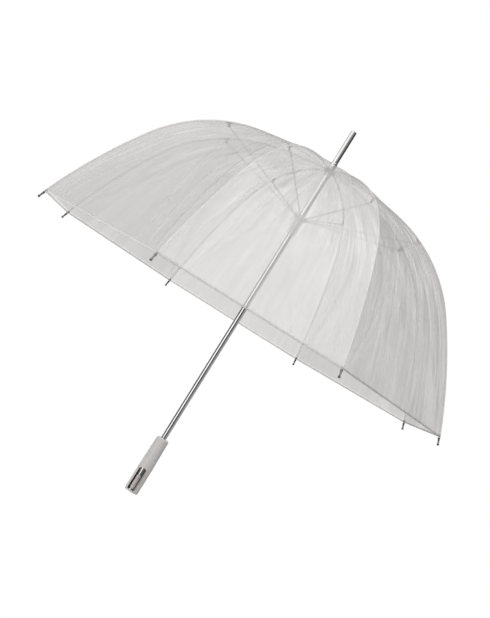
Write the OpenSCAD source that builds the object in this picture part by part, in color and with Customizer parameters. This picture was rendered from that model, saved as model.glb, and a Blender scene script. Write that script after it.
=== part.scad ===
// Transparent dome umbrella with a straight handle, a push button and a sliding runner.
// Eight curved ribs, eight stretchers, a clear film canopy of eight gores.
// Origin: centre of the handle's bottom face. +Z runs up the shaft. Millimetres.

/* [Canopy] */
// Radius of the circle through the rib ends
rim_r = 500; // [450:1:550]
// Height of the circle through the rib ends
rim_z = 425; // [380:1:480]
// Radius of the rib's flat crown arc
crown_arc_r = 586.2; // [500:0.1:700]
// Radius of the rib's shoulder arc
shoulder_arc_r = 336.2; // [250:0.1:450]
// Slope of the rib at its hub, degrees below level
slope_hub = -2.46; // [-5:0.01:10]
// Slope where the crown arc ends
slope_crown = 15.76; // [10:0.01:25]
// Slope where the rib flexes as it folds
slope_flex = 34; // [25:0.5:45]
// Slope where the shoulder arc ends
slope_shoulder = 55.46; // [45:0.01:62]
// Slope of the rib at its end
slope_end = 68.4; // [60:0.01:80]
// Thickness of the film
film_t = 0.2; // [0.2:0.1:1]
// Gap between neighbouring film panels
film_gap = 0.3; // [0.2:0.1:1]

/* [Ribs and stretchers] */
// Diameter of a rib
rib_d = 3; // [2:0.1:5]
// Radius of the circle of rib pivots in the hub
hub_pivot_r = 10; // [8:0.5:14]
// Slope of the rib at the stretcher joint
slope_joint = 25.8; // [20:0.1:32]
// Width of the tab under a rib that carries the stretcher
tab_w = 5; // [4:0.5:8]
// Depth of the stretcher pivot below the rib's centre line
joint_drop = 8; // [3:0.1:10]
// Diameter of a stretcher
stretcher_d = 2.6; // [2:0.1:4]
// Sideways offset of a stretcher from its rib
stretcher_side = 3.2; // [3:0.1:5]
// Length of a rib end cap in front of the film
tip_len = 16; // [10:1:25]

/* [Shaft and ferrule] */
// Outer diameter of the shaft
shaft_d = 12; // [8:0.5:16]
// Wall of the shaft tube
shaft_wall = 0.8; // [0.5:0.1:1.5]
// Top of the shaft, inside the ferrule
shaft_top = 850; // [820:1:870]
// Overall height
overall_h = 905; // [800:1:1000]
// Outer diameter of the ferrule
ferrule_d = 12.6; // [10:0.1:18]
// Outer diameter of the collar under the ferrule
collar_d = 14.6; // [13:0.1:20]
// Height of that collar
collar_h = 15; // [8:1:25]

/* [Runner] */
// Height of the stretcher pivots in the open umbrella
runner_z = 686; // [650:1:720]
// Radius of the circle of stretcher pivots in the runner
runner_pivot_r = 12; // [11:0.5:16]
// Outer diameter of the runner's sleeve
sleeve_d = 19.2; // [18:0.1:24]
// Length of the sleeve below the pivots
sleeve_len = 40; // [25:1:60]
// Outer diameter of the runner's slotted crown
runner_d = 28.4; // [26:0.1:36]

/* [Handle] */
// Diameter of the handle's straight lower part
grip_d = 31; // [26:0.5:38]
// Diameter at the handle's top
grip_top_d = 28; // [22:0.5:34]
// Length of the handle
grip_h = 130.5; // [100:0.5:180]
// Length of the handle's straight lower part
grip_straight = 62; // [60:1:90]
// Width of the chrome plate
plate_w = 22; // [12:0.5:24]
// Height of the chrome plate
plate_h = 54; // [40:1:60]
// Height of the plate's lower edge
plate_z = 4; // [3:0.5:8]
// Width of the push button
button_w = 9; // [6:0.5:12]
// Height of the push button
button_h = 34; // [20:1:40]
// Height of the button's lower edge
button_z = 7; // [6:0.5:12]
// Direction the button faces, degrees round the shaft
button_az = -100; // [-180:1:180]

/* [Hidden] */
$fn = 48;
eps = 0.05;
gore = 45;
half = gore / 2;
rib_r = rib_d / 2;
shaft_r = shaft_d / 2;
bead_r = rib_r + 0.2;

// Rib centre line in the plane of radius and height, as tangent arcs
function arc_centre(p, r, s) = p - r * [sin(s), cos(s)];
function on_arc(c, r, s) = c + r * [sin(s), cos(s)];
skirt_run = rim_r - hub_pivot_r
  - crown_arc_r * (sin(slope_crown) - sin(slope_hub))
  - shoulder_arc_r * (sin(slope_shoulder) - sin(slope_crown));
skirt_arc_r = skirt_run / (sin(slope_end) - sin(slope_shoulder));
hub_z = rim_z
  + crown_arc_r * (cos(slope_hub) - cos(slope_crown))
  + shoulder_arc_r * (cos(slope_crown) - cos(slope_shoulder))
  + skirt_arc_r * (cos(slope_shoulder) - cos(slope_end));
hub_p = [hub_pivot_r, hub_z];
c1 = arc_centre(hub_p, crown_arc_r, slope_hub);
p1 = on_arc(c1, crown_arc_r, slope_crown);
c2 = arc_centre(p1, shoulder_arc_r, slope_crown);
p2 = on_arc(c2, shoulder_arc_r, slope_shoulder);
c3 = arc_centre(p2, skirt_arc_r, slope_shoulder);
flex_p = on_arc(c2, shoulder_arc_r, slope_flex);
joint_p = on_arc(c2, shoulder_arc_r - joint_drop, slope_joint);
runner_p = [runner_pivot_r, runner_z];
// The cap starts this far before the rim circle
cap_back = 12;
slope_cap = slope_end - cap_back / skirt_arc_r * 180 / PI;
cap_p = on_arc(c3, skirt_arc_r, slope_cap);
slope_hem = slope_end - (cap_back + 0.6) / skirt_arc_r * 180 / PI;

// Film profile: points above the rib, drawn in towards the middle of the gore
film_low = rib_r + 0.5;
// Height of the collar's foot, on the washer, and of the ferrule, which stands on the collar
collar_z = hub_z + film_low + film_t + 3.2;
ferrule_z = collar_z + collar_h;
hole_slope = asin((8 - c1[0]) / (crown_arc_r + film_low));
function steps(a, b, n) = [for (i = [0 : n]) a + (b - a) * i / n];
function film_pts(c, r, slopes, up) =
  [for (s = slopes) [(c[0] + (r + up) * sin(s)) * cos(half), c[1] + (r + up) * cos(s)]];
upper_slopes_a = steps(hole_slope, slope_crown, 7);
upper_slopes_b = steps(slope_crown + 3, slope_flex - 0.03, 6);
lower_slopes_a = steps(slope_flex + 0.03, slope_shoulder, 8);
lower_slopes_b = steps(slope_shoulder + 2, slope_hem, 6);
function upper_line(up) = concat(
  film_pts(c1, crown_arc_r, upper_slopes_a, up),
  film_pts(c2, shoulder_arc_r, upper_slopes_b, up));
function lower_line(up) = concat(
  film_pts(c2, shoulder_arc_r, lower_slopes_a, up),
  film_pts(c3, skirt_arc_r, lower_slopes_b, up));
function reversed(v) = [for (i = [len(v) - 1 : -1 : 0]) v[i]];
function rib_az(k) = half + gore * (k - 1);
function gore_az(k) = rib_az(k) + half;

// A rod bent along one arc of the rib's plane
module arc_rod(c, r, a, b, d) {
  translate([c[0], 0, c[1]])
    rotate([90, 0, 0])
      rotate([0, 0, 90 - b])
        rotate_extrude(angle = b - a, $fn = 480)
          translate([r, 0])
            circle(d = d, $fn = 32);
}

// A straight rod between two points of the rib's plane
module straight_rod(p, q, d) {
  run = q - p;
  translate([p[0], 0, p[1]])
    rotate([0, atan2(run[0], run[1]), 0])
      cylinder(d = d, h = norm(run));
}

// Inner part of a rib: from its eye in the hub to where it flexes
module rib_inner(k) {
  color([0.62, 0.62, 0.63])
    rotate([0, 0, rib_az(k)])
      difference() {
        union() {
          translate([hub_p[0], 0, hub_p[1]])
            rotate([90, 0, 0])
              cylinder(r = bead_r, h = 3.2, center = true);
          arc_rod(c1, crown_arc_r, slope_hub, slope_crown, rib_d);
          arc_rod(c2, shoulder_arc_r, slope_crown, slope_flex, rib_d);
          translate([p1[0], 0, p1[1]])
            sphere(r = rib_r + 0.1);
          translate([flex_p[0], 0, flex_p[1]])
            sphere(r = bead_r);
          translate([joint_p[0], 0, joint_p[1]])
            rotate([0, slope_joint, 0])
              joint_tab();
        }
        translate([hub_p[0], 0, hub_p[1]])
          rotate([90, 0, 0])
            cylinder(d = 1.2, h = 5, center = true);
      }
}

// The tab under the rib that carries the stretcher's pivot
module joint_tab() {
  difference() {
    translate([-tab_w / 2, -0.8, -1.8])
      cube([tab_w, 1.6, joint_drop + 1.8]);
    rotate([90, 0, 0])
      cylinder(d = 1.4, h = 4, center = true);
  }
}

// Outer part of a rib: from where it flexes to its end cap
module rib_outer(k) {
  color([0.62, 0.62, 0.63])
    rotate([0, 0, rib_az(k)])
      difference() {
        union() {
          arc_rod(c2, shoulder_arc_r, slope_flex, slope_shoulder, rib_d);
          arc_rod(c3, skirt_arc_r, slope_shoulder, slope_cap, rib_d);
          translate([p2[0], 0, p2[1]])
            sphere(r = rib_r + 0.1);
        }
        translate([flex_p[0], 0, flex_p[1]])
          sphere(r = bead_r + 0.3);
      }
}

// End cap of a rib: flange, tapered neck and ball
module rib_tip(k) {
  color([0.27, 0.26, 0.26])
    rotate([0, 0, rib_az(k)])
      translate([cap_p[0], 0, cap_p[1]])
        rotate([0, 90 + (slope_cap + slope_end) / 2, 0])
          rotate_extrude()
            polygon([[0, 0], [2.6, 0], [2.6, 1.2], [2.1, 2.6], [1.5, 10.6], [1.6, 11.4],
              [2.4, 12.4], [2.7, 13.6], [2.4, 14.8], [1.5, 15.7], [0, tip_len]]);
}

// A stretcher: rod with an eye at the rib and an eye in the runner
module stretcher(k) {
  run = joint_p - runner_p;
  color([0.66, 0.66, 0.67])
    rotate([0, 0, rib_az(k)])
      difference() {
        union() {
          translate([0, stretcher_side, 0])
            straight_rod(runner_p, joint_p, stretcher_d);
          translate([joint_p[0], stretcher_side + 1.3, joint_p[1]])
            rotate([90, 0, 0])
              cylinder(r = 1.9, h = 3.3);
          translate([runner_p[0], stretcher_side + 1.3, runner_p[1]])
            rotate([90, 0, 0])
              cylinder(r = 1.7, h = 2.6);
        }
        translate([joint_p[0], stretcher_side + 3, joint_p[1]])
          rotate([90, 0, 0])
            cylinder(d = 1.2, h = 6);
      }
}

// Space of one gore, with half the gap to each neighbour left out
module gore_wedge() {
  side = film_gap / 2 / sin(half);
  far = 560;
  translate([0, 0, rim_z - 40])
    linear_extrude(height = 460)
      polygon([[side, 0], [far, (far - side) * tan(half)], [far, -(far - side) * tan(half)]]);
}

// Upper part of a gore of film, flat between its two ribs
module panel_upper(k) {
  color([0.86, 0.86, 0.87, 0.35])
    rotate([0, 0, gore_az(k)])
      intersection() {
        translate([0, 230, 0])
          rotate([90, 0, 0])
            linear_extrude(height = 460)
              polygon(concat(upper_line(film_low), reversed(upper_line(film_low + film_t))));
        gore_wedge();
      }
}

// Lower part of a gore of film, down to the hem
module panel_lower(k) {
  color([0.86, 0.86, 0.87, 0.35])
    rotate([0, 0, gore_az(k)])
      intersection() {
        translate([0, 230, 0])
          rotate([90, 0, 0])
            linear_extrude(height = 460)
              polygon(concat(lower_line(film_low), reversed(lower_line(film_low + film_t))));
        gore_wedge();
      }
}

// Shaft tube, with the two slots that the catches come out of
module shaft() {
  color([0.72, 0.72, 0.73])
    difference() {
      translate([0, 0, 70])
        cylinder(d = shaft_d, h = shaft_top - 70);
      translate([0, 0, 69])
        cylinder(d = shaft_d - 2 * shaft_wall, h = shaft_top - 68);
      catch_slot(top_catch_z);
      catch_slot(bottom_catch_z);
    }
}

// Heights of the two catches' upper edges
top_catch_z = runner_z - sleeve_len - 0.4;
bottom_catch_z = 302;
catch_az = 90;

// Slot for a catch in the shaft's wall
module catch_slot(z) {
  rotate([0, 0, catch_az])
    translate([2, -1.25, z - 18.6])
      cube([8, 2.5, 19.2]);
}

// Leaf catch: a wedge that lets the runner pass one way and holds it the other way
module catch_blade(z) {
  color([0.55, 0.55, 0.56])
    rotate([0, 0, catch_az])
      translate([0, 0.8, z])
        rotate([90, 0, 0])
          linear_extrude(height = 1.6)
            polygon([[1.6, -18], [5, -18], [8.5, -3], [8.5, 0], [1.6, 0]]);
}

module top_catch() {
  catch_blade(top_catch_z);
}

module bottom_catch() {
  catch_blade(bottom_catch_z);
}

// Ferrule tube over the top of the shaft, closed at its end
module ferrule() {
  color([0.78, 0.78, 0.79])
    difference() {
      rotate_extrude()
        polygon([[0, ferrule_z], [ferrule_d / 2, ferrule_z],
          [ferrule_d / 2, overall_h - 0.8], [ferrule_d / 2 - 0.8, overall_h], [0, overall_h]]);
      translate([0, 0, ferrule_z - 1])
        cylinder(r = shaft_r + eps, h = shaft_top + 1 - ferrule_z);
    }
}

// Collar between the washer and the ferrule
module ferrule_collar() {
  color([0.78, 0.78, 0.79])
    difference() {
      rotate_extrude()
        polygon([[2, collar_z], [collar_d / 2, collar_z], [collar_d / 2, ferrule_z - 1],
          [collar_d / 2 - 0.6, ferrule_z], [2, ferrule_z]]);
      translate([0, 0, collar_z - 1])
        cylinder(r = shaft_r + eps, h = collar_h + 2);
    }
}

// Clear washer that clamps the film to the hub
module crown_washer() {
  base = collar_z - 2.4;
  color([0.85, 0.82, 0.81, 0.6])
    difference() {
      rotate_extrude()
        polygon([[2, base], [12, base], [12.4, base + 0.4], [12, base + 1],
          [8.4, base + 2.35], [2, base + 2.35]]);
      translate([0, 0, base - 1])
        cylinder(r = shaft_r + eps, h = 5);
    }
}

// Hub at the top of the shaft, with a slot for each rib and the wire that holds their eyes
module notch() {
  color([0.84, 0.84, 0.83])
    union() {
      notch_body();
      translate([0, 0, hub_z])
        rotate_extrude()
          translate([hub_pivot_r, 0])
            circle(r = 0.35);
    }
}

module notch_body() {
  difference() {
    rotate_extrude()
      polygon([[2, hub_z - 12], [8, hub_z - 12], [8.6, hub_z - 5], [12.4, hub_z - 4.4],
        [12.8, hub_z - 4], [12.8, hub_z + 1.4], [2, hub_z + 1.4]]);
    translate([0, 0, hub_z - 13])
      cylinder(r = shaft_r + eps, h = 16);
    for (k = [1 : 8])
      rotate([0, 0, rib_az(k)])
        translate([7.9, -1.85, hub_z - 14])
          cube([8, 3.7, 20]);
  }
}

// Runner: sleeve on the shaft with a slotted crown for the stretchers
module runner() {
  low = runner_z - sleeve_len;
  color([0.88, 0.88, 0.88, 0.6])
    difference() {
      rotate_extrude()
        polygon([[2, low], [sleeve_d / 2, low], [sleeve_d / 2, runner_z - 6.5],
          [runner_d / 2 - 0.6, runner_z - 4.5], [runner_d / 2, runner_z - 3.9],
          [runner_d / 2, runner_z + 3.9], [runner_d / 2 - 0.6, runner_z + 4.5],
          [sleeve_d / 2, runner_z + 5.2], [2, runner_z + 5.2]]);
      translate([0, 0, low - 1])
        cylinder(r = shaft_r + 0.3, h = sleeve_len + 10);
      rotate([0, 0, catch_az])
        translate([0, -1.7, low - 1])
          cube([9, 3.4, sleeve_len + 10]);
      for (k = [1 : 8])
        rotate([0, 0, rib_az(k)])
          translate([9.8, stretcher_side - 1.9, runner_z - 12])
            cube([12, 3.8, 24]);
    }
}

// Outline of the plate: straight foot, round arch on top
module arch_outline(w, h) {
  union() {
    translate([-w / 2, 0])
      square([w, h - w / 2]);
    translate([0, h - w / 2])
      circle(d = w);
  }
}

// Outline of the button: straight sides and round ends
module button_outline(w, h) {
  union() {
    translate([-w / 2, w / 2])
      square([w, h - w]);
    translate([0, w / 2])
      circle(d = w);
    translate([0, h - w / 2])
      circle(d = w);
  }
}

// Stands an outline on the handle's face and runs it from one depth to another
module on_face(z, inner, outer) {
  rotate([0, 0, button_az])
    translate([inner, 0, z])
      rotate([90, 0, 90])
        linear_extrude(height = outer - inner)
          children();
}

// Handle: frosted grip with the pocket for the plate, the button and its spring
module grip() {
  r = grip_d / 2;
  rt = grip_top_d / 2;
  color([0.80, 0.79, 0.78, 0.9])
    difference() {
      rotate_extrude()
        polygon([[0, 0], [r - 1.2, 0], [r - 0.4, 0.4], [r, 1.3], [r, grip_straight],
          [rt, grip_h - 2.4], [rt - 0.7, grip_h - 0.7], [rt - 2.4, grip_h], [0, grip_h]]);
      translate([0, 0, 70])
        cylinder(r = shaft_r + eps, h = grip_h);
      on_face(plate_z - eps, r - 3, r + 4)
        arch_outline(plate_w + 2 * eps, plate_h + 2 * eps);
      on_face(button_z - 0.4, r - 10.5, r)
        button_outline(button_w + 0.8, button_h + 0.8);
    }
}

// Chrome plate, flush with the handle's round surface
module button_plate() {
  r = grip_d / 2;
  color([0.82, 0.81, 0.80])
    intersection() {
      difference() {
        on_face(plate_z, r - 2.95, r + 4)
          arch_outline(plate_w, plate_h);
        on_face(button_z - 0.4, r - 5, r + 5)
          button_outline(button_w + 0.8, button_h + 0.8);
      }
      cylinder(r = r - 0.05, h = 80);
    }
}

// Push button that lets the runner go
module release_button() {
  r = grip_d / 2;
  color([0.74, 0.71, 0.68])
    intersection() {
      on_face(button_z, r - 6.4, r + 4)
        button_outline(button_w, button_h);
      cylinder(r = r - 0.1, h = 80);
    }
}

// Return spring behind the button, as its outer shape
module button_spring() {
  r = grip_d / 2;
  rotate([0, 0, button_az])
    translate([r - 10.4, 0, button_z + button_h / 2])
      rotate([0, 90, 0])
        color([0.6, 0.6, 0.6])
          difference() {
            cylinder(d = 6, h = 3.9);
            translate([0, 0, -1])
              cylinder(d = 4.4, h = 6);
          }
}

rib_inner(1);  // rib_1_inner
rib_inner(2);  // rib_2_inner
rib_inner(3);  // rib_3_inner
rib_inner(4);  // rib_4_inner
rib_inner(5);  // rib_5_inner
rib_inner(6);  // rib_6_inner
rib_inner(7);  // rib_7_inner
rib_inner(8);  // rib_8_inner
rib_outer(1);  // rib_1_outer
rib_outer(2);  // rib_2_outer
rib_outer(3);  // rib_3_outer
rib_outer(4);  // rib_4_outer
rib_outer(5);  // rib_5_outer
rib_outer(6);  // rib_6_outer
rib_outer(7);  // rib_7_outer
rib_outer(8);  // rib_8_outer
rib_tip(1);  // rib_1_tip
rib_tip(2);  // rib_2_tip
rib_tip(3);  // rib_3_tip
rib_tip(4);  // rib_4_tip
rib_tip(5);  // rib_5_tip
rib_tip(6);  // rib_6_tip
rib_tip(7);  // rib_7_tip
rib_tip(8);  // rib_8_tip
stretcher(1);  // stretcher_1
stretcher(2);  // stretcher_2
stretcher(3);  // stretcher_3
stretcher(4);  // stretcher_4
stretcher(5);  // stretcher_5
stretcher(6);  // stretcher_6
stretcher(7);  // stretcher_7
stretcher(8);  // stretcher_8
panel_upper(1);  // panel_1_upper
panel_upper(2);  // panel_2_upper
panel_upper(3);  // panel_3_upper
panel_upper(4);  // panel_4_upper
panel_upper(5);  // panel_5_upper
panel_upper(6);  // panel_6_upper
panel_upper(7);  // panel_7_upper
panel_upper(8);  // panel_8_upper
panel_lower(1);  // panel_1_lower
panel_lower(2);  // panel_2_lower
panel_lower(3);  // panel_3_lower
panel_lower(4);  // panel_4_lower
panel_lower(5);  // panel_5_lower
panel_lower(6);  // panel_6_lower
panel_lower(7);  // panel_7_lower
panel_lower(8);  // panel_8_lower
shaft();
ferrule();
ferrule_collar();
crown_washer();
notch();
runner();
top_catch();
bottom_catch();
grip();
button_plate();
release_button();
button_spring();
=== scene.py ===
"""Looks of the clear dome umbrella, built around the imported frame. Metres; +Z runs up the shaft."""

import math
import random

import bpy
import numpy as np
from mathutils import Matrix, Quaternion, Vector


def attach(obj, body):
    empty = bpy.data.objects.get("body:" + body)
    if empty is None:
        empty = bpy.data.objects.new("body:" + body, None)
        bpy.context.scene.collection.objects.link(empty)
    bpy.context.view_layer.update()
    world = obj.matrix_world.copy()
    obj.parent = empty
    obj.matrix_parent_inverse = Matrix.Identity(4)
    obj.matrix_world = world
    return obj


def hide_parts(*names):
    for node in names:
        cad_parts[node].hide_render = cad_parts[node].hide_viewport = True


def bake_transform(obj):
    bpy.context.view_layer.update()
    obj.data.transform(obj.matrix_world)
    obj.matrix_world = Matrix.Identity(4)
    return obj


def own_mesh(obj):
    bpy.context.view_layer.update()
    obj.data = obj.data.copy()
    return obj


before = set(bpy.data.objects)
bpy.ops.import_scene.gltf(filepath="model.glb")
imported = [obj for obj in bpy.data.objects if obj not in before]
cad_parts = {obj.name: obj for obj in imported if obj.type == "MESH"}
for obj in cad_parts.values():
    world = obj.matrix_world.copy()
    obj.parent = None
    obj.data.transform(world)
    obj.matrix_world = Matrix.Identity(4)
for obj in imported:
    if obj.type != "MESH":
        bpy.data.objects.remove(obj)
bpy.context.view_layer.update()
SCENE = bpy.context.scene

# ---------------------------------------------------------------- the umbrella's own dimensions
RIBS = 8
HALF = math.pi / RIBS  # half the angle between two ribs
RIM_R, RIM_Z = 0.500, 0.425  # where a rib's centre line ends
HUB_R = 0.010  # how far out the ribs pivot in the notch
CROWN_ARC, SHOULDER_ARC = 0.5862, 0.3362  # radii of a rib's first two arcs
# how steeply a rib falls, in degrees: at the hub, after each arc, at its hinge, at its end and at its joint
SLOPE_HUB, SLOPE_CROWN, SLOPE_FLEX, SLOPE_SHOULDER, SLOPE_END = -2.46, 15.76, 34.0, 55.46, 68.4
SLOPE_JOINT, JOINT_DROP = 25.8, 0.008
RIB_RAD = 0.0015
FILM_UP = 0.0021  # the film's height over the ribs' centre lines
FILM_START_R = 0.008
CAP_BACK, HEM_BACK, RING_BACK = 0.012, 0.0126, 0.0045
LINE_STEP, ROD_STEP = 0.005, 0.0055
UPPER_COLUMNS, LOWER_COLUMNS = 96, 150
BUTTON_AZ, BUTTON_TRAVEL = -100.0, 0.0025
SPRING_BACK, SPRING_LENGTH, SPRING_Z = 0.0051, 0.0039, 0.024
SPRING_R, SPRING_WIRE, SPRING_TURNS, SPRING_STEPS = 0.0026, 0.00032, 3, 24


def sin_d(a):
    return math.sin(math.radians(a))


def cos_d(a):
    return math.cos(math.radians(a))


SKIRT_ARC = ((RIM_R - HUB_R - CROWN_ARC * (sin_d(SLOPE_CROWN) - sin_d(SLOPE_HUB))
              - SHOULDER_ARC * (sin_d(SLOPE_SHOULDER) - sin_d(SLOPE_CROWN)))
             / (sin_d(SLOPE_END) - sin_d(SLOPE_SHOULDER)))
HUB_Z = (RIM_Z + CROWN_ARC * (cos_d(SLOPE_HUB) - cos_d(SLOPE_CROWN))
         + SHOULDER_ARC * (cos_d(SLOPE_CROWN) - cos_d(SLOPE_SHOULDER))
         + SKIRT_ARC * (cos_d(SLOPE_SHOULDER) - cos_d(SLOPE_END)))
SLOPE_CAP = SLOPE_END - math.degrees(CAP_BACK / SKIRT_ARC)
SLOPE_HEM = SLOPE_END - math.degrees(HEM_BACK / SKIRT_ARC)


def arc_centre(p, r, s):
    return (p[0] - r * sin_d(s), p[1] - r * cos_d(s))


def on_arc(c, r, s):
    return (c[0] + r * sin_d(s), c[1] + r * cos_d(s))


C1 = arc_centre((HUB_R, HUB_Z), CROWN_ARC, SLOPE_HUB)
C2 = arc_centre(on_arc(C1, CROWN_ARC, SLOPE_CROWN), SHOULDER_ARC, SLOPE_CROWN)
C3 = arc_centre(on_arc(C2, SHOULDER_ARC, SLOPE_SHOULDER), SKIRT_ARC, SLOPE_SHOULDER)
ARCS = ((C1, CROWN_ARC, -10.0, SLOPE_CROWN), (C2, SHOULDER_ARC, SLOPE_CROWN, SLOPE_SHOULDER),
        (C3, SKIRT_ARC, SLOPE_SHOULDER, 80.0))


def rib_line(start, end, step, up=0.0):
    """Points (radius, height, slope) over the rib's centre line between two slopes, about a step apart."""
    out = []
    for c, r, a, b in ARCS:
        lo, hi = max(a, start), min(b, end)
        if hi - lo < 1e-6:
            continue
        n = max(2, round(math.radians(hi - lo) * r / step))
        for i in range(n + 1):
            s = lo + (hi - lo) * i / n
            if out and abs(out[-1][2] - s) < 1e-6:
                continue
            out.append((*on_arc(c, r + up, s), s))
    return out


def rib_az(k):
    return HALF + 2 * HALF * (k - 1)


def gore_az(k):
    return rib_az(k) + HALF


def turned(x, y, z, az):
    return (x * math.cos(az) - y * math.sin(az), x * math.sin(az) + y * math.cos(az), z)


# ---------------------------------------------------------------- mesh helpers
def new_object(name, verts, faces, material, smooth=True):
    mesh = bpy.data.meshes.new(name)
    mesh.from_pydata([tuple(v) for v in verts], [], faces)
    mesh.update()
    if smooth:
        mesh.polygons.foreach_set("use_smooth", [True] * len(mesh.polygons))
    ob = bpy.data.objects.new(name, mesh)
    SCENE.collection.objects.link(ob)
    mesh.materials.append(material)
    return ob


def point_attribute(ob, name, values):
    a = ob.data.attributes.new(name, "FLOAT", "POINT")
    a.data.foreach_set("value", np.asarray(values, np.float32))


def set_uvs(ob, uvs):
    """Gives the mesh one UV position for each vertex."""
    layer = ob.data.uv_layers.new(name="UVMap")
    index = np.zeros(len(ob.data.loops), np.int32)
    ob.data.loops.foreach_get("vertex_index", index)
    layer.data.foreach_set("uv", np.asarray(uvs, np.float32)[index].reshape(-1))


def sweep(points, radii, sides, side_axis):
    """A round rod through points, its ring's first axis being side_axis, which is square to the path."""
    verts, faces = [], []
    pts = [Vector(p) for p in points]
    side = Vector(side_axis).normalized()
    for i, p in enumerate(pts):
        t = (pts[min(i + 1, len(pts) - 1)] - pts[max(i - 1, 0)]).normalized()
        up = side.cross(t).normalized()
        for j in range(sides):
            a = 2 * math.pi * j / sides
            verts.append(p + (side * math.cos(a) + up * math.sin(a)) * radii[i])
    for i in range(len(pts) - 1):
        for j in range(sides):
            k = (j + 1) % sides
            faces.append((i * sides + j, i * sides + k, (i + 1) * sides + k, (i + 1) * sides + j))
    faces.append(tuple(range(sides))[::-1])
    faces.append(tuple((len(pts) - 1) * sides + j for j in range(sides)))
    return verts, faces


def join_parts(parts):
    verts, faces = [], []
    for v, f in parts:
        base = len(verts)
        verts += [tuple(x) for x in v]
        faces += [tuple(i + base for i in face) for face in f]
    return verts, faces


# ---------------------------------------------------------------- material helpers
class Nodes:
    """A short way to build a node tree."""

    def __init__(self, name, world=None):
        if world is None:
            self.material = bpy.data.materials.new(name)
            self.material.use_nodes = True
            self.tree = self.material.node_tree
            self.tree.nodes.clear()
            self.out = self.tree.nodes.new("ShaderNodeOutputMaterial")
        else:
            world.use_nodes = True
            self.tree = world.node_tree
            self.tree.nodes.clear()
            self.out = self.tree.nodes.new("ShaderNodeOutputWorld")

    def add(self, kind, props=None, **inputs):
        n = self.tree.nodes.new(kind)
        for key, value in (props or {}).items():
            setattr(n, key, value)
        for key, value in inputs.items():
            self.put(n, key.replace("_", " "), value)
        return n

    def put(self, node, key, value):
        socket = node.inputs[int(key)] if key.isdigit() else node.inputs[key]
        if isinstance(value, bpy.types.NodeSocket):
            self.tree.links.new(value, socket)
        else:
            socket.default_value = value

    def math(self, operation, a, b=0.0, clamp=False):
        n = self.tree.nodes.new("ShaderNodeMath")
        n.operation = operation
        n.use_clamp = clamp
        self.put(n, "0", a)
        if operation not in ("SINE", "ABSOLUTE", "SQRT"):
            self.put(n, "1", b)
        return n.outputs[0]

    def plus(self, a, b, clamp=False):
        return self.math("ADD", a, b, clamp)

    def minus(self, a, b, clamp=False):
        return self.math("SUBTRACT", a, b, clamp)

    def times(self, a, b, clamp=False):
        return self.math("MULTIPLY", a, b, clamp)

    def vary(self, value, amount):
        """A noise value, 0 to 1, as a change of that size round nothing."""
        return self.times(self.minus(value, 0.5), amount)

    def facing(self):
        """0 where the surface is seen head on, 1 at its edges."""
        return self.add("ShaderNodeLayerWeight", Blend=0.5).outputs["Facing"]

    def ramp(self, value, stops, interpolation="LINEAR"):
        n = self.tree.nodes.new("ShaderNodeValToRGB")
        n.color_ramp.interpolation = interpolation
        elements = n.color_ramp.elements
        for i, (position, colour) in enumerate(stops):
            e = elements[i] if i < 2 else elements.new(position)
            e.position = position
            e.color = (*colour, 1) if hasattr(colour, "__len__") else (colour, colour, colour, 1)
        self.put(n, "Fac", value)
        return n.outputs["Color"]

    def noise(self, vector, scale, detail=3.0, roughness=0.55):
        return self.add("ShaderNodeTexNoise", Vector=vector, Scale=scale, Detail=detail,
                        Roughness=roughness).outputs["Fac"]

    def mix_colour(self, factor, a, b):
        n = self.tree.nodes.new("ShaderNodeMix")
        n.data_type = "RGBA"
        self.put(n, "0", factor)
        self.put(n, "6", a)
        self.put(n, "7", b)
        return n.outputs[2]

    def scaled(self, vector, scale):
        return self.add("ShaderNodeMapping", Vector=vector, Scale=scale).outputs[0]

    def coords(self):
        return self.add("ShaderNodeTexCoord").outputs

    def attribute(self, name):
        return self.add("ShaderNodeAttribute", {"attribute_name": name}).outputs["Fac"]

    def bump(self, height, strength, distance):
        return self.add("ShaderNodeBump", Height=height, Strength=strength, Distance=distance).outputs[0]

    def principled(self, **inputs):
        return self.add("ShaderNodeBsdfPrincipled", **inputs)

    def end(self, shader):
        self.tree.links.new(shader, self.out.inputs["Surface"])
        return getattr(self, "material", None)


FILM_VALUES = ("seam", "hem", "fold", "crease_shading", "hem_light", "haze_and_shade", "shade")
COVER = 0.385  # share of the light that one layer of film stops, head on
# what a light crease (a painted highlight), a dark one (painted shade), a fold (a painted highlight on its
# ridges, painted shade in its troughs) and a weld change of the cover and of the tone
CREASE_COVER, TROUGH_COVER, FOLD_COVER = 0.26, 0.25, 0.085
CREASE_TONE, TROUGH_TONE, FOLD_TONE, WELD_TONE = 0.5, 0.7, 0.13, 3.0
FILM_TONE, STREAK_TONE = 0.62, 0.4
GLANCING = 0.58  # how much longer the light's path through the film gets at a glancing angle
WHITE = (1.0, 0.985, 0.975)


def opaque(colour):
    return (*colour, 1)


def grey(v):
    return (v, v, v, 1)


def creases(t, uv, across, along, width):
    """Thin broken lines that run down the gore where a stretched noise crosses its middle value."""
    wander = t.noise(t.scaled(uv, (across, along, 1)), 1.0, 1.0, 0.5)
    line = t.math("ABSOLUTE", t.minus(wander, 0.5))
    line = t.minus(1.0, t.math("DIVIDE", line, width), clamp=True)
    patch = t.noise(t.scaled(uv, (across * 0.31, along * 2.3, 1)), 1.0, 2.0, 0.5)
    return t.times(line, t.ramp(patch, ((0.44, 0.0), (0.62, 1.0))))


def see_through(t, cover, body):
    """Mixes a shader over a clear one by how much light the film stops."""
    clear = t.add("ShaderNodeBsdfTransparent", Color=(1.0, 0.992, 0.988, 1))
    mixed = t.add("ShaderNodeMixShader")
    t.put(mixed, "0", cover)
    t.tree.links.new(clear.outputs[0], mixed.inputs[1])
    t.tree.links.new(body.outputs[0], mixed.inputs[2])
    return t.end(mixed.outputs[0])


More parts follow.
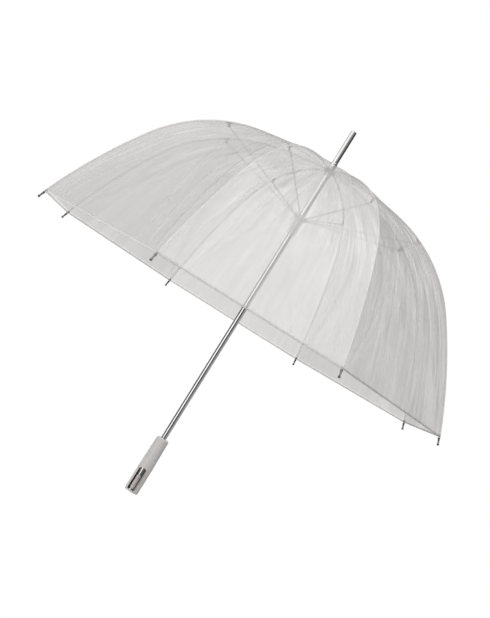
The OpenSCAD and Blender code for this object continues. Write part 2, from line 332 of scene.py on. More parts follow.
def film_material():
    """Clear vinyl: mostly see-through and glossy, with fine creases down each gore drawn with bumps, painted
    highlights and painted shade, hazier at its welds, and with painted shade or painted light that differs
    from gore to gore.
    """
    t = Nodes("vinyl_film")
    uv = t.coords()["UV"]
    seam, hem, fold, crease_shading, hem_light, haze_and_shade, shade = (t.attribute(name) for name in FILM_VALUES)
    broad = t.noise(t.scaled(uv, (3.2, 0.45, 1)), 3.0, 2.0, 0.5)
    streak = t.noise(t.scaled(uv, (11.0, 0.8, 1)), 3.0, 3.0, 0.55)
    facing = t.facing()
    # how strongly the creases are drawn, bump and painted highlight and painted shade alike, fading toward
    # the film's edges as seen
    crease_shading = t.times(crease_shading, t.minus(1.0, t.math("POWER", facing, 3.0)))
    # light creases are painted highlights, dark creases are painted shade
    light = t.times(t.plus(creases(t, uv, 14.0, 0.8, 0.085), creases(t, uv, 30.0, 1.4, 0.11)), crease_shading)
    dark = t.times(creases(t, uv, 18.0, 1.0, 0.080), crease_shading)
    # how much of the light the film stops, head on
    # the gore's extra cover is haze, and also painted shade on the gores that get less light
    cover = t.plus(t.plus(COVER, haze_and_shade), t.vary(broad, 0.06))
    cover = t.plus(cover, t.vary(streak, 0.05))
    # painted highlight: light creases and fold ridges let more through; painted shade: dark creases and fold
    # troughs stop more
    cover = t.minus(cover, t.times(light, CREASE_COVER))
    cover = t.plus(cover, t.times(dark, TROUGH_COVER))
    cover = t.minus(cover, t.times(fold, FOLD_COVER))
    # by metres from the seam and from the hem
    weld = t.ramp(seam, ((0.0, 0.16), (0.0024, 0.13), (0.0034, 0.0)))
    pulled = t.ramp(seam, ((0.0036, 0.0), (0.0048, 0.10), (0.0070, 0.10), (0.0084, 0.0)))
    # painted light: the film is clearer just above the hem on gores whose hem gets more painted light
    edge = t.times(t.ramp(hem, ((0.0, 0.36), (0.0042, 0.36), (0.0052, 0.0))), hem_light)
    cover = t.minus(t.plus(cover, weld), t.plus(pulled, edge))
    # more of it at a glancing angle, because the path through the film is longer
    power = t.plus(1.0, t.times(facing, GLANCING))
    cover = t.minus(1.0, t.math("POWER", t.minus(1.0, cover, clamp=True), power), clamp=True)
    # tone: painted shade or painted light per gore, painted highlights on light creases and fold ridges,
    # painted shade in dark creases and fold troughs, and whiter welds
    tone = t.plus(t.plus(FILM_TONE, shade), t.vary(streak, STREAK_TONE))
    tone = t.plus(tone, t.plus(t.times(light, CREASE_TONE), t.times(weld, WELD_TONE)))
    tone = t.plus(tone, t.times(fold, FOLD_TONE))
    tone = t.minus(tone, t.times(dark, TROUGH_TONE), clamp=True)
    colour = t.mix_colour(tone, opaque((0.50, 0.485, 0.48)), opaque((0.90, 0.875, 0.87)))
    height = t.plus(t.times(streak, 0.6), t.times(t.minus(light, dark), 0.25))
    body = t.principled(Base_Color=colour, Roughness=0.30, IOR=1.8, Coat_Weight=1.0, Coat_IOR=1.6,
                        Coat_Roughness=0.14, Normal=t.bump(height, 0.20, 0.0012))
    return see_through(t, cover, body)


def hem_material():
    """The folded and welded edge of the film: two layers, hazier and more visible, paler on some gores and
    darker on others as painted light and painted shade.
    """
    t = Nodes("vinyl_hem")
    uv = t.coords()["UV"]
    grain = t.noise(t.scaled(uv, (6.0, 2.0, 1)), 3.0, 3.0, 0.6)
    hem_light = t.attribute("hem_light")
    cover = t.plus(0.40, t.vary(grain, 0.06))
    # painted light: the hem is clearer and paler on gores that get more of it, darker grey on the others
    cover = t.minus(cover, t.times(hem_light, 0.10), clamp=True)
    tone = t.plus(t.times(grain, 0.2), t.times(hem_light, 0.9), clamp=True)
    colour = t.mix_colour(tone, opaque((0.34, 0.33, 0.325)), opaque(WHITE))
    body = t.principled(Base_Color=colour, Roughness=0.28, IOR=1.5, Normal=t.bump(grain, 0.1, 0.0004))
    return see_through(t, cover, body)


def metal_material(name, dark, light, rough, along, grain=0.03, bump=0.05):
    """Metal with fine lines along its length, faint smudges and slightly uneven gloss."""
    t = Nodes(name)
    p = t.coords()["Object"]
    lines = t.noise(t.scaled(p, along), 1.0, 3.0, 0.6)
    smudge = t.noise(p, 38.0, 3.0, 0.55)
    colour = t.mix_colour(t.ramp(smudge, ((0.35, 0.0), (0.7, 1.0))), opaque(dark), opaque(light))
    r = t.plus(rough - grain, t.times(smudge, grain * 2))
    r = t.plus(r, t.times(lines, grain))
    body = t.principled(Base_Color=colour, Metallic=1.0, Roughness=r, Normal=t.bump(lines, bump, 0.0004))
    return t.end(body.outputs[0])


def plastic_material(name, dark, light, rough, scale, bump, rim):
    """Frosted plastic with a fine surface texture and faint clouding, and a painted sheen that makes it paler
    toward its edges as seen.
    """
    t = Nodes(name)
    p = t.coords()["Object"]
    fine = t.noise(p, scale, 3.0, 0.6)
    cloud = t.noise(p, 45.0, 3.0, 0.55)
    colour = t.mix_colour(t.ramp(cloud, ((0.3, 0.0), (0.72, 1.0))), opaque(dark), opaque(light))
    r = t.plus(rough - 0.05, t.times(cloud, 0.1))
    # painted sheen: the colour turns whiter toward the edges as seen
    painted_edge_sheen = t.times(t.math("POWER", t.facing(), 1.6), rim, clamp=True)
    colour = t.mix_colour(painted_edge_sheen, colour, opaque(WHITE))
    body = t.principled(Base_Color=colour, Roughness=r, IOR=1.49, Normal=t.bump(fine, bump, 0.0003))
    return t.end(body.outputs[0])


def clear_material(name, dark, light, rough, stops, rim):
    """Clear moulded plastic that shows what is inside it, with faint clouding."""
    t = Nodes(name)
    p = t.coords()["Object"]
    cloud = t.noise(p, 60.0, 3.0, 0.55)
    fine = t.noise(p, 500.0, 2.0, 0.5)
    cover = t.plus(stops, t.vary(cloud, 0.12))
    cover = t.plus(cover, t.times(t.math("POWER", t.facing(), 2.0), rim), clamp=True)
    colour = t.mix_colour(cloud, opaque(dark), opaque(light))
    body = t.principled(Base_Color=colour, Roughness=rough, IOR=1.49, Normal=t.bump(fine, 0.08, 0.0003))
    return see_through(t, cover, body)


FILM = film_material()
HEM = hem_material()
ROD = clear_material("fibreglass_rod", (0.62, 0.61, 0.60), (0.76, 0.75, 0.74), 0.32, 0.20, 0.24)
CLIP = metal_material("joint_clip_metal", (0.34, 0.33, 0.325), (0.48, 0.47, 0.465), 0.40, (300, 300, 40))
TIP = metal_material("tip_metal", (0.17, 0.165, 0.16), (0.30, 0.29, 0.285), 0.30, (400, 400, 60))
STRETCHER = clear_material("stretcher_nylon", (0.70, 0.69, 0.68), (0.84, 0.83, 0.82), 0.34, 0.42, 0.18)
SHAFT = metal_material("shaft_metal", (0.60, 0.60, 0.605), (0.70, 0.70, 0.705), 0.14, (500, 500, 6), 0.02,
                       0.012)
FERRULE = metal_material("ferrule_metal", (0.70, 0.685, 0.68), (0.82, 0.805, 0.80), 0.09, (500, 500, 10),
                         0.015, 0.01)
PLATE = metal_material("plate_chrome", (0.72, 0.71, 0.70), (0.82, 0.81, 0.80), 0.05, (60, 60, 60), 0.02, 0.02)
BUTTON = metal_material("button_satin", (0.62, 0.58, 0.55), (0.74, 0.69, 0.66), 0.46, (900, 900, 30), 0.04,
                        0.08)
SPRING = metal_material("spring_steel", (0.36, 0.36, 0.37), (0.48, 0.48, 0.49), 0.28, (200, 200, 200))
CATCH = metal_material("catch_steel", (0.40, 0.40, 0.41), (0.55, 0.55, 0.56), 0.30, (300, 300, 60))
GRIP = plastic_material("grip_frosted", (0.575, 0.555, 0.54), (0.64, 0.62, 0.605), 0.46, 420.0, 0.008, 0.50)
HUB = clear_material("hub_plastic", (0.80, 0.77, 0.755), (0.94, 0.91, 0.89), 0.26, 0.22, 0.22)
RUNNER = clear_material("runner_plastic", (0.86, 0.85, 0.845), (0.96, 0.95, 0.945), 0.22, 0.30, 0.34)
WASHER = clear_material("washer_plastic", (0.62, 0.53, 0.52), (0.80, 0.71, 0.70), 0.20, 0.40, 0.30)

# ---------------------------------------------------------------- materials of the CAD nodes that stay
CAD_LOOKS = {"shaft": SHAFT, "ferrule": FERRULE, "ferrule_collar": FERRULE, "crown_washer": WASHER,
             "notch": HUB, "runner": RUNNER, "top_catch": CATCH, "bottom_catch": CATCH, "grip": GRIP,
             "button_plate": PLATE, "release_button": BUTTON}
for k in range(1, RIBS + 1):
    CAD_LOOKS[f"rib_{k}_tip"] = TIP
    CAD_LOOKS[f"stretcher_{k}"] = STRETCHER
for name, material in CAD_LOOKS.items():
    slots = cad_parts[name].material_slots
    if not slots:
        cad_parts[name].data.materials.append(material)
    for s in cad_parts[name].material_slots:
        s.material = material


# ---------------------------------------------------------------- film
FOLD_HEIGHT, MOST_CREASED = 0.00020, 3.4
CROWN_FOLDS, CORNER_FOLDS, JOINT_FOLDS, JOINT_DOWN = 14, 4, 9, 0.30
SAG, SAG_DOWN, SAG_SPREAD = 0.0035, 0.33, 0.17
WELD_LIFT, WELD_HALF = 0.0007, 0.0016
FOLDS_FADE, HEM_CALM = 0.010, 0.02  # how near the seams and the hem the folds die out
# how strongly the creases are drawn, bump and painted highlight and painted shade alike: full down to a set
# depth from the hub, least further down, and how fast it falls between
LEAST_CREASE_SHADING, CREASE_SHADING_DOWN, CREASE_SHADING_SPREAD = 0.22, 0.26, 0.13
# where down the gore its painted shade or painted light is strongest, and how far that spreads
SHADE_DOWN, SHADE_SPREAD = 0.35, 0.15
# Long tight pull lines that stand out on one gore, in the film's shape and as painted highlight and painted
# shade: position across at both ends, metres down from the hub at both ends, half width and depth, where a
# negative depth is a trough that is painted darker
PULLS = {4: ((0.30, 0.62, 0.20, 0.66, 0.0036, 2.0), (0.55, 0.80, 0.24, 0.70, 0.0040, 2.0),
             (0.10, 0.44, 0.18, 0.60, 0.0036, 1.8), (0.74, 0.92, 0.30, 0.72, 0.0030, 1.8),
             (-0.20, 0.20, 0.22, 0.62, 0.0040, 1.6)),
         6: ((-0.90, -0.86, 0.20, 0.46, 0.0036, -1.5), (-0.76, -0.75, 0.22, 0.52, 0.0046, 1.4),
             (-0.64, -0.65, 0.20, 0.42, 0.0034, -1.8), (-0.50, -0.52, 0.24, 0.50, 0.0044, 1.3),
             (-0.38, -0.41, 0.22, 0.40, 0.0034, -1.8), (-0.24, -0.28, 0.24, 0.38, 0.0036, 1.0),
             (0.52, 0.50, 0.12, 0.30, 0.0034, 1.0), (0.66, 0.64, 0.14, 0.34, 0.0030, -1.0),
             (0.80, 0.78, 0.12, 0.34, 0.0034, 1.1)),
         5: ((-0.70, -0.94, 0.20, 0.74, 0.0036, 3.2), (-0.45, -0.88, 0.16, 0.72, 0.0034, 3.0),
             (-0.10, -0.80, 0.22, 0.70, 0.0032, 2.6), (0.48, 0.88, 0.26, 0.74, 0.0034, 3.2),
             (0.70, 0.93, 0.20, 0.70, 0.0034, -2.0), (0.10, 0.76, 0.32, 0.70, 0.0032, 2.4),
             (0.80, 0.965, 0.26, 0.72, 0.0030, 3.4)),
         7: ((-0.62, -0.50, 0.20, 0.40, 0.0060, -2.2), (-0.40, -0.30, 0.16, 0.36, 0.0030, 2.2),
             (0.10, 0.05, 0.20, 0.40, 0.0100, -3.2), (0.50, 0.42, 0.20, 0.36, 0.0090, -3.4),
             (0.68, 0.86, 0.24, 0.56, 0.0026, 4.0), (0.30, 0.60, 0.24, 0.52, 0.0024, 4.0),
             (-0.20, 0.10, 0.24, 0.48, 0.0024, 3.6), (0.84, 0.70, 0.22, 0.44, 0.0024, 4.0),
             (-0.52, -0.36, 0.22, 0.44, 0.0024, 3.4), (0.02, 0.30, 0.26, 0.50, 0.0022, 3.6),
             (-0.80, -0.74, 0.18, 0.46, 0.0030, 2.2), (-0.10, -0.08, 0.18, 0.42, 0.0030, 2.0),
             (0.22, 0.20, 0.20, 0.44, 0.0030, -1.8), (0.45, 0.46, 0.18, 0.42, 0.0030, 2.0))}


class Folds:
    """The soft fold lines of one gore, the same in its upper and lower part: ridges and troughs that run from
    the crown down the gore, and others that fan out of the two corners at the hem. u is -1 to 1 across, v is
    metres down from the hub."""

    def __init__(self, k, length, amount):
        rnd = random.Random(4100 + k)
        self.lines = []

        def line(u0, u1, a, b, low, high):
            width = rnd.uniform(low, high)
            depth = rnd.choice((-1, 1)) * rnd.uniform(0.3, 1.0) * amount
            self.lines.append((u0, u1, a, b, width, depth))

        for _ in range(round(CROWN_FOLDS * amount)):
            u = rnd.uniform(-0.92, 0.92)
            a = rnd.uniform(0.02, 0.35) * length
            line(u, u + rnd.uniform(-0.10, 0.10), a, a + rnd.uniform(0.2, 0.5) * length, 0.0022, 0.0045)
        for side in (-1, 1):
            for _ in range(CORNER_FOLDS):
                line(side * rnd.uniform(-0.1, 0.75), side * rnd.uniform(0.93, 0.985),
                     length * rnd.uniform(0.35, 0.66), length * 0.99, 0.0026, 0.0050)
        for _ in range(round(JOINT_FOLDS * amount)):
            u = rnd.uniform(-0.95, 0.95)
            a = JOINT_DOWN + rnd.uniform(-0.06, 0.05)
            line(u * 0.92, u, a - rnd.uniform(0.02, 0.08), a + rnd.uniform(0.08, 0.24), 0.0020, 0.0036)
        self.lines += PULLS.get(k, ())
        self.waves = [(rnd.uniform(5, 11), rnd.uniform(0, 6.28), rnd.uniform(2, 6), rnd.uniform(0, 6.28),
                       rnd.uniform(0.0002, 0.0005)) for _ in range(3)]

    def at(self, u, v, half_width):
        """Height in metres and how creased the film is there, as arrays over u; the crease value is painted
        as a highlight where positive and as shade where negative.
        """
        h, c = np.zeros_like(u), np.zeros_like(u)
        narrow = min(1.0, half_width / 0.06)
        for u0, u1, a, b, w, amp in self.lines:
            if not a < v < b:
                continue
            s = (v - a) / (b - a)
            bell = np.exp(-((u - (u0 + (u1 - u0) * s)) * half_width / w) ** 2)
            bell = bell * math.sin(math.pi * s) ** 0.6 * narrow
            h += amp * FOLD_HEIGHT * bell
            c += amp * bell
        for f, p, g, q, amp in self.waves:
            h += amp * np.sin(u * f + p) * math.sin(v * g + q) * narrow
        return h, np.clip(c, -MOST_CREASED, MOST_CREASED)


def film_part(k, part, line, first, columns, total, folds):
    """One part of a gore as a curved sheet, flat between its ribs but for a slight sag and its fold lines,
    and how far it reaches. It starts first metres down from the hub, and the hem is total metres down."""
    u = np.linspace(-1, 1, columns + 1)
    u = np.sign(u) * (1 - (1 - np.abs(u)) ** 1.12)  # closer together near the seams
    az = gore_az(k)
    verts, seam, hem, fold, crease_shading, shade, uvs = [], [], [], [], [], [], []
    # the gore's painted shade, or painted light where positive: all over, and at its left and right shoulder
    all_over, left, right = SHADE.get(k, (0.0, 0.0, 0.0))
    v = first
    previous = None
    for r, z, s in line:
        if previous is not None:
            v += math.hypot(r - previous[0], z - previous[1])
        previous = (r, z)
        half_width = r * math.sin(HALF)
        h, crease = folds.at(u, v, half_width)
        near = (1 - np.abs(u)) * half_width
        sag = (-SAG * (1 - u ** 2) * min(1.0, half_width / 0.09)
               * math.exp(-((v - SAG_DOWN) / SAG_SPREAD) ** 2))
        lift = WELD_LIFT * np.exp(-(near / WELD_HALF) ** 2) * min(1.0, half_width / 0.02)
        settle = 1 - np.exp(-(near / FOLDS_FADE) ** 2)
        edge = min(1.0, max(0.0, (total - v) / HEM_CALM))
        up = h * settle * edge + sag * edge + lift
        nx, nz = sin_d(s), cos_d(s) * math.cos(HALF)
        size = math.hypot(nx, nz)
        # the shoulder, where the gore's painted shade or painted light is strongest
        shoulder = math.exp(-((v - SHADE_DOWN) / SHADE_SPREAD) ** 2)
        # how strongly this row's creases are drawn, bump and painted highlight and painted shade alike
        crease_shading_fall = LEAST_CREASE_SHADING + (1 - LEAST_CREASE_SHADING) * math.exp(-(max(0.0, v - CREASE_SHADING_DOWN) / CREASE_SHADING_SPREAD) ** 2)
        for j in range(len(u)):
            verts.append(turned(r * math.cos(HALF) + nx / size * up[j], u[j] * half_width,
                                z + nz / size * up[j], az))
            seam.append(near[j])
            hem.append(total - v)
            # painted highlight on the ridges of the folds, painted shade in their troughs
            fold.append(crease[j] * settle[j] * edge)
            crease_shading.append(CREASE_SHADING.get(k, 0.7) * crease_shading_fall * (0.55 + 0.45 * settle[j]))
            # painted shade, or painted light where positive, all over the gore and most at its shoulder
            shade.append(all_over + (left + (right - left) * (u[j] + 1) / 2) * shoulder)
            uvs.append(((u[j] + 1) / 2 + 1.7 * k, v * 3))
    rows, n = len(line), columns + 1
    faces = [(i * n + j, (i + 1) * n + j, (i + 1) * n + j + 1, i * n + j + 1)
             for i in range(rows - 1) for j in range(columns)]
    ob = new_object(f"film_{k}_{part}", verts, faces, FILM)
    # how much painted light the gore's hem gets
    hem_light = [HEM_LIGHT.get(k, 0.75)] * len(verts)
    # the gore's extra cover: haze, and painted shade on the gores that get less light
    haze_and_shade = [HAZE_AND_SHADE.get(k, 0.0)] * len(verts)
    for name, values in zip(FILM_VALUES, (seam, hem, fold, crease_shading, hem_light, haze_and_shade, shade)):
        point_attribute(ob, name, values)
    ob.visible_glossy = False
    set_uvs(ob, uvs)
    return ob, v


def flat_size(line):
    """A gore part's widest width, its length down the middle and its flat area."""
    length, area = 0.0, 0.0
    for (r0, z0, _), (r1, z1, _) in zip(line, line[1:]):
        d = math.hypot((r1 - r0) * math.cos(HALF), z1 - z0)
        length += d
        area += d * (r0 + r1) * math.sin(HALF)
    return 2 * line[-1][0] * math.sin(HALF), length, area


def length_of(line):
    return sum(math.hypot(b[0] - a[0], b[1] - a[1]) for a, b in zip(line, line[1:]))


# the hem strip: its middle against the film's last row, its half width and half thickness, its wave, and how
# much shorter it is than the gore at each end
HEM_MIDDLE, HEM_WIDE, HEM_THICK, HEM_WAVE, HEM_SHORT = -0.0018, 0.0020, 0.0009, 0.00018 * 0.3, 0.0012


def hem_strip(k, line):
    """The folded edge along a gore's lower side: a thin flattened tube, wider than it is thick."""
    r, z, s = line[-1]
    az = gore_az(k)
    half_width = r * math.sin(HALF)
    nx, nz = sin_d(s), cos_d(s) * math.cos(HALF)
    size = math.hypot(nx, nz)
    nx, nz = nx / size, nz / size
    dx, dz = nz, -nx
    rnd = random.Random(900 + k)
    phase = rnd.uniform(0, 6.28)
    verts, uvs = [], []
    columns, ring = 90, 14
    inset = HEM_SHORT / half_width
    for i in range(columns + 1):
        u = -1 + 2 * i / columns
        wave = HEM_WAVE * math.sin(u * 5 + phase)
        y = u * (1 - inset) * half_width
        for j in range(ring):
            a = 2 * math.pi * j / ring
            along = HEM_MIDDLE + HEM_WIDE * math.cos(a)
            out = HEM_THICK * math.sin(a) + wave
            verts.append(turned(r * math.cos(HALF) + nx * out + dx * along, y, z + nz * out + dz * along, az))
            uvs.append((u + k, j / ring * 0.1))
    faces = [(i * ring + j, i * ring + (j + 1) % ring, (i + 1) * ring + (j + 1) % ring, (i + 1) * ring + j)
             for i in range(columns) for j in range(ring)]
    faces.append(tuple(range(ring))[::-1])
    faces.append(tuple(columns * ring + j for j in range(ring)))
    ob = new_object(f"hem_{k}", verts, faces, HEM)
    # how much painted light this hem gets
    point_attribute(ob, "hem_light", [HEM_LIGHT.get(k, 0.75)] * len(verts))
    set_uvs(ob, uvs)
    return ob


# What differs from gore to gore: how many folds it has, its extra cover (haze and painted shade), its painted
# shade or painted light (all over, and at its shoulder on the left and right), how much painted light its hem
# gets, and how strongly its creases are drawn with bumps, painted highlights and painted shade
FOLDING = {5: 0.9, 6: 0.9, 7: 1.5, 8: 1.2}
# extra cover per gore: haze, and painted shade on gores 1 to 3, 7 and 8
HAZE_AND_SHADE = {1: 0.095, 2: 0.055, 3: 0.055, 5: -0.01, 6: -0.012, 7: 0.145, 8: 0.115}
# painted shade on gores 7 and 8, painted light on the right shoulder of gore 6
SHADE = {6: (-0.05, -0.02, 0.46), 7: (-0.22, -0.40, -0.36), 8: (-0.34, -0.2, -0.2)}
# painted light on the hems: most on gore 5, least on gore 7
HEM_LIGHT = {1: 0.55, 2: 0.55, 3: 0.55, 5: 1.0, 6: 0.34, 7: 0.12, 8: 0.3}
# how strongly each gore's creases are drawn, bump and painted highlight and painted shade alike
CREASE_SHADING = {4: 0.9, 5: 0.6, 6: 0.6, 7: 3.4, 8: 2.4}
film_start = math.degrees(math.asin((FILM_START_R - C1[0]) / (CROWN_ARC + FILM_UP)))
upper_line = rib_line(film_start, SLOPE_FLEX, LINE_STEP, FILM_UP)
lower_line = rib_line(SLOPE_FLEX, SLOPE_HEM, LINE_STEP, FILM_UP)
total = length_of(upper_line) + length_of(lower_line)
for k in range(1, RIBS + 1):
    az = gore_az(k)
    across = (-math.sin(az), math.cos(az), 0)
    folds = Folds(k, total, FOLDING.get(k, 0.8))
    upper, reached = film_part(k, "upper", upper_line, 0.0, UPPER_COLUMNS, total, folds)
    lower, reached = film_part(k, "lower", lower_line, reached, LOWER_COLUMNS, total, folds)
    strip = hem_strip(k, lower_line)
    for ob, body in ((upper, f"panel_{k}_upper"), (lower, f"panel_{k}_lower"), (strip, f"panel_{k}_lower")):
        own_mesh(ob)
        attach(ob, body)
        if ob != strip:
            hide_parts(body)
    width, length, area = flat_size(upper_line)
    width, length, area = flat_size(lower_line)

# ---------------------------------------------------------------- ribs, joint clips and corner rings
# Profiles in metres: along the rib and radius of the sleeve and crimped ring, sideways and radius of the eye
# and pin
SLEEVE = ((-0.0062, 0.00165), (-0.0058, 0.00188), (0.0058, 0.00188), (0.0062, 0.00165))
CRIMP = ((-0.0024, 0.0016), (-0.0020, 0.0022), (-0.0008, 0.0023), (0.0, 0.0019), (0.0008, 0.0023),
         (0.0020, 0.0022), (0.0024, 0.0016))
EYE = ((-0.0016, 0.0014), (-0.0013, 0.0017), (0.0013, 0.0017), (0.0016, 0.0014))
PIN = ((-0.0019, 0.0008), (-0.0016, 0.0011), (-0.0009, 0.0011), (-0.0008, 0.00055), (0.0055, 0.00055))
TAB_HALF, TAB_FOOT = 0.0008, -JOINT_DROP - 0.0021
# the tab's outline: along the rib, and up from its centre line
TAB = ((-0.0030, 0.0), (-0.0023, TAB_FOOT + 0.0016), (-0.0015, TAB_FOOT + 0.0005), (0.0, TAB_FOOT),
       (0.0015, TAB_FOOT + 0.0005), (0.0023, TAB_FOOT + 0.0016), (0.0030, 0.0))


def along_rib(at, slope, az, profile, sides):
    """A turned piece round the rib at a point of its line, from its profile."""
    dx, dz = cos_d(slope), -sin_d(slope)
    return sweep([turned(at[0] + dx * t, 0, at[1] + dz * t, az) for t, _ in profile], [r for _, r in profile],
                 sides, turned(0, 1, 0, az))


def across_rib(at, az, profile, sides):
    """A turned piece that crosses the rib at a point, from its profile."""
    return sweep([turned(at[0], y, at[1], az) for y, _ in profile], [r for _, r in profile], sides,
                 turned(0, 0, 1, az))


def tab_plate(at, slope, az):
    """The flat tab under the rib that the stretcher pivots on."""
    dx, dz = cos_d(slope), -sin_d(slope)
    verts = [turned(at[0] + dx * x - dz * y, w, at[1] + dz * x + dx * y, az)
             for w in (-TAB_HALF, TAB_HALF) for x, y in TAB]
    n = len(TAB)
    faces = [tuple(range(n)), tuple(range(n, 2 * n))[::-1]]
    faces += [(i, i + n, (i + 1) % n + n, (i + 1) % n) for i in range(n)]
    return verts, faces


rod_line = rib_line(SLOPE_HUB, SLOPE_CAP, ROD_STEP)
joint = on_arc(C2, SHOULDER_ARC, SLOPE_JOINT)
pin_at = (joint[0] - sin_d(SLOPE_JOINT) * JOINT_DROP, joint[1] - cos_d(SLOPE_JOINT) * JOINT_DROP)
ring_slope = SLOPE_CAP - math.degrees(RING_BACK / SKIRT_ARC)
ring_at = on_arc(C3, SKIRT_ARC, ring_slope)
for k in range(1, RIBS + 1):
    az = rib_az(k)
    rod_points = [turned(r, 0, z, az) for r, z, _ in rod_line]
    rod_part = sweep(rod_points, [RIB_RAD] * len(rod_points), 14, turned(0, 1, 0, az))
    rod = new_object(f"rib_rod_{k}", *join_parts((rod_part, across_rib((HUB_R, HUB_Z), az, EYE, 20))), ROD)
    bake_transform(rod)
    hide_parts(f"rib_{k}_inner", f"rib_{k}_outer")

    # sleeve, tab and pin where the stretcher meets the rib
    clip_parts = (along_rib(joint, SLOPE_JOINT, az, SLEEVE, 20), tab_plate(joint, SLOPE_JOINT, az),
                  across_rib(pin_at, az, PIN, 14))
    clip = new_object(f"joint_clip_{k}", *join_parts(clip_parts), CLIP, smooth=False)
    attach(clip, f"rib_{k}_inner")

    # small crimped ring that ties the film's corner to the rib, just inside the end cap
    ring = new_object(f"corner_ring_{k}", *along_rib(ring_at, ring_slope, az, CRIMP, 18), CLIP)
    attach(ring, f"rib_{k}_outer")

# ---------------------------------------------------------------- return spring behind the button
out = Vector((cos_d(BUTTON_AZ), sin_d(BUTTON_AZ), 0.0))
across, rise = Vector((-out.y, out.x, 0.0)), Vector((0, 0, 1))
coil = []
for i in range(SPRING_TURNS * SPRING_STEPS + 1):
    a = 2 * math.pi * i / SPRING_STEPS
    far = SPRING_BACK + SPRING_WIRE + (SPRING_LENGTH - 2 * SPRING_WIRE) * i / (SPRING_TURNS * SPRING_STEPS)
    coil.append(out * far + (across * math.cos(a) + rise * math.sin(a)) * SPRING_R + rise * SPRING_Z)
spring = new_object("button_coil", *sweep(coil, [SPRING_WIRE] * len(coil), 10, out), SPRING)
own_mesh(spring)
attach(spring, "root")
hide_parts("button_spring")

# ---------------------------------------------------------------- camera, at the photograph's viewing angle
TARGET = Vector((0, 0, 0.4204))
DISTANCE, TURN, ELEVATION, ROLL = 2.400, 1.26, -1.66, 31.89
LENS, SENSOR, SHIFT = 65.4, 36, (0.0158, 0.0231)
cam_data = bpy.data.cameras.new("camera")
cam = bpy.data.objects.new("camera", cam_data)
SCENE.collection.objects.link(cam)
SCENE.camera = cam
back = Vector((-sin_d(TURN) * cos_d(ELEVATION), -cos_d(TURN) * cos_d(ELEVATION), sin_d(ELEVATION)))
cam.location = TARGET + back * DISTANCE
look = (-back).to_track_quat("-Z", "Y")
cam.rotation_mode = "QUATERNION"
cam.rotation_quaternion = look @ Quaternion((0, 0, 1), math.radians(ROLL))
cam_data.lens, cam_data.sensor_width = LENS, SENSOR
cam_data.shift_x, cam_data.shift_y = SHIFT
cam_data.clip_start, cam_data.clip_end = 0.05, 100

# ---------------------------------------------------------------- floor and studio light
FLOOR_HALF, FLOOR_Z = 30, -0.0005
floor_tree = Nodes("pale_floor")
floor_light = floor_tree.add("ShaderNodeEmission", Color=grey(1.0), Strength=1.0)
floor_material = floor_tree.end(floor_light.outputs[0])
floor_corners = [(x * FLOOR_HALF, y * FLOOR_HALF, FLOOR_Z) for x, y in ((-1, -1), (1, -1), (1, 1), (-1, 1))]
floor = new_object("floor", floor_corners, [(0, 1, 2, 3)], floor_material, smooth=False)
for ray in ("diffuse", "glossy", "transmission", "volume_scatter", "shadow"):
    setattr(floor, f"visible_{ray}", False)

# Diffuse light: broad softboxes in front and behind, both above, and a weak fill. Reflections: the front
# softbox high up, and near the horizon a ring of tall cards and flags, which draw the bright and dark lines
# along the shaft, ferrule and handle.
KEY_FROM, KEY = (-0.05, -0.82, 0.56), 1.25
BACK_FROM, BACK = (0.05, 0.88, 0.42), 0.5
BACK_GLOSS_CUT = 0.92  # share of the back light that reflections don't see
SOFT_START, SOFT_FULL = 0.45, 0.82  # cosines between which a softbox fades in
LAMP_AT, LAMP_TO, LAMP_WATTS, LAMP_SIZE = (-0.42, -0.16, -0.06), (0, 0, 0.04), 0.55, 0.25
world = bpy.data.worlds.new("studio")
SCENE.world = world
w = Nodes("studio", world)
view = w.add("ShaderNodeSeparateXYZ", Vector=w.coords()["Generated"]).outputs
around = w.math("ARCTAN2", view["X"], w.times(view["Y"], -1.0))
around = w.plus(w.times(around, 1 / (2 * math.pi)), 0.5)
height = w.plus(w.times(view["Z"], 0.5), 0.5)


def cards(*stops):
    """Brightness round the horizon, by azimuth in degrees: 0 is toward the camera, -90 to its left."""
    return w.ramp(around, [(degrees / 360 + 0.5, level / 2) for degrees, level in stops])


def blend(factor, a, b):
    """a where the factor is 0, b where it is 1."""
    return w.plus(a, w.times(factor, w.minus(b, a)))


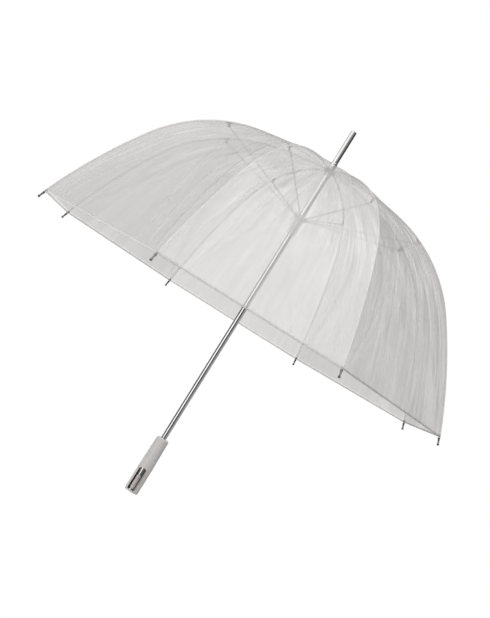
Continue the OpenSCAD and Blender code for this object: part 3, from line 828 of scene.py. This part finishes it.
shaft_cards = cards((-180, 0.25), (-110, 0.12), (-66, 0.12), (-56, 1.9), (-24, 1.9), (-15, 0.12), (38, 0.12),
                    (55, 0.50), (150, 0.50), (180, 0.25))
ferrule_cards = cards((-180, 0.25), (-122, 0.25), (-106, 1.25), (-34, 1.25), (0, 0.42), (42, 0.16),
                      (80, 0.06), (140, 0.06), (180, 0.25))
handle_cards = cards((-180, 0.75), (-110, 0.75), (-94, 0.02), (-40, 0.02), (-37, 1.5), (-29, 1.5),
                     (-25, 0.16), (8, 0.10), (14, 0.05), (26, 0.05), (36, 0.34), (180, 0.34))
low_cards = blend(w.ramp(height, ((0.440, 0.0), (0.450, 1.0))), handle_cards, shaft_cards)
horizon = w.times(blend(w.ramp(height, ((0.555, 0.0), (0.575, 1.0))), low_cards, ferrule_cards), 2.0)
near_horizon = w.ramp(height, ((0.34, 0.0), (0.38, 1.0), (0.62, 1.0), (0.66, 0.0)))
fill = w.ramp(height, ((0.0, 0.10), (0.45, 0.10), (0.60, 0.28), (1.0, 0.56)))


def softbox(direction, level):
    """A broad lamp far off in a direction, fading in toward its middle."""
    toward = w.add("ShaderNodeVectorMath", {"operation": "DOT_PRODUCT"})
    w.tree.links.new(w.coords()["Generated"], toward.inputs[0])
    toward.inputs[1].default_value = Vector(direction).normalized()
    return w.times(w.ramp(toward.outputs["Value"], ((SOFT_START, 0.0), (SOFT_FULL, 1.0)), "EASE"), level)


glossy = w.add("ShaderNodeLightPath").outputs["Is Glossy Ray"]
behind = w.times(softbox(BACK_FROM, BACK), w.minus(1.0, w.times(glossy, BACK_GLOSS_CUT)))
soft = w.plus(fill, w.plus(softbox(KEY_FROM, KEY), behind))
level = blend(w.times(glossy, near_horizon), soft, horizon)
studio = w.add("ShaderNodeBackground", Color=grey(1.0), Strength=level)
plain = w.add("ShaderNodeBackground", Color=grey(1.0), Strength=1.0)
camera_ray = w.add("ShaderNodeLightPath").outputs["Is Camera Ray"]
pick = w.add("ShaderNodeMixShader")
w.put(pick, "0", camera_ray)
w.tree.links.new(studio.outputs[0], pick.inputs[1])
w.tree.links.new(plain.outputs[0], pick.inputs[2])
w.end(pick.outputs[0])

# A small lamp low on the left, close to the handle
lamp_data = bpy.data.lights.new("handle_lamp", "AREA")
lamp_data.energy, lamp_data.size = LAMP_WATTS, LAMP_SIZE
lamp = bpy.data.objects.new("handle_lamp", lamp_data)
SCENE.collection.objects.link(lamp)
lamp.location = LAMP_AT
lamp.rotation_euler = (Vector(LAMP_TO) - Vector(LAMP_AT)).to_track_quat("-Z", "Y").to_euler()
lamp.visible_camera = lamp.visible_glossy = False

SCENE.view_settings.view_transform = "Standard"
SCENE.view_settings.look = "None"
SCENE.view_settings.exposure = 0.0
SCENE.view_settings.gamma = 1.0

bpy.context.view_layer.update()
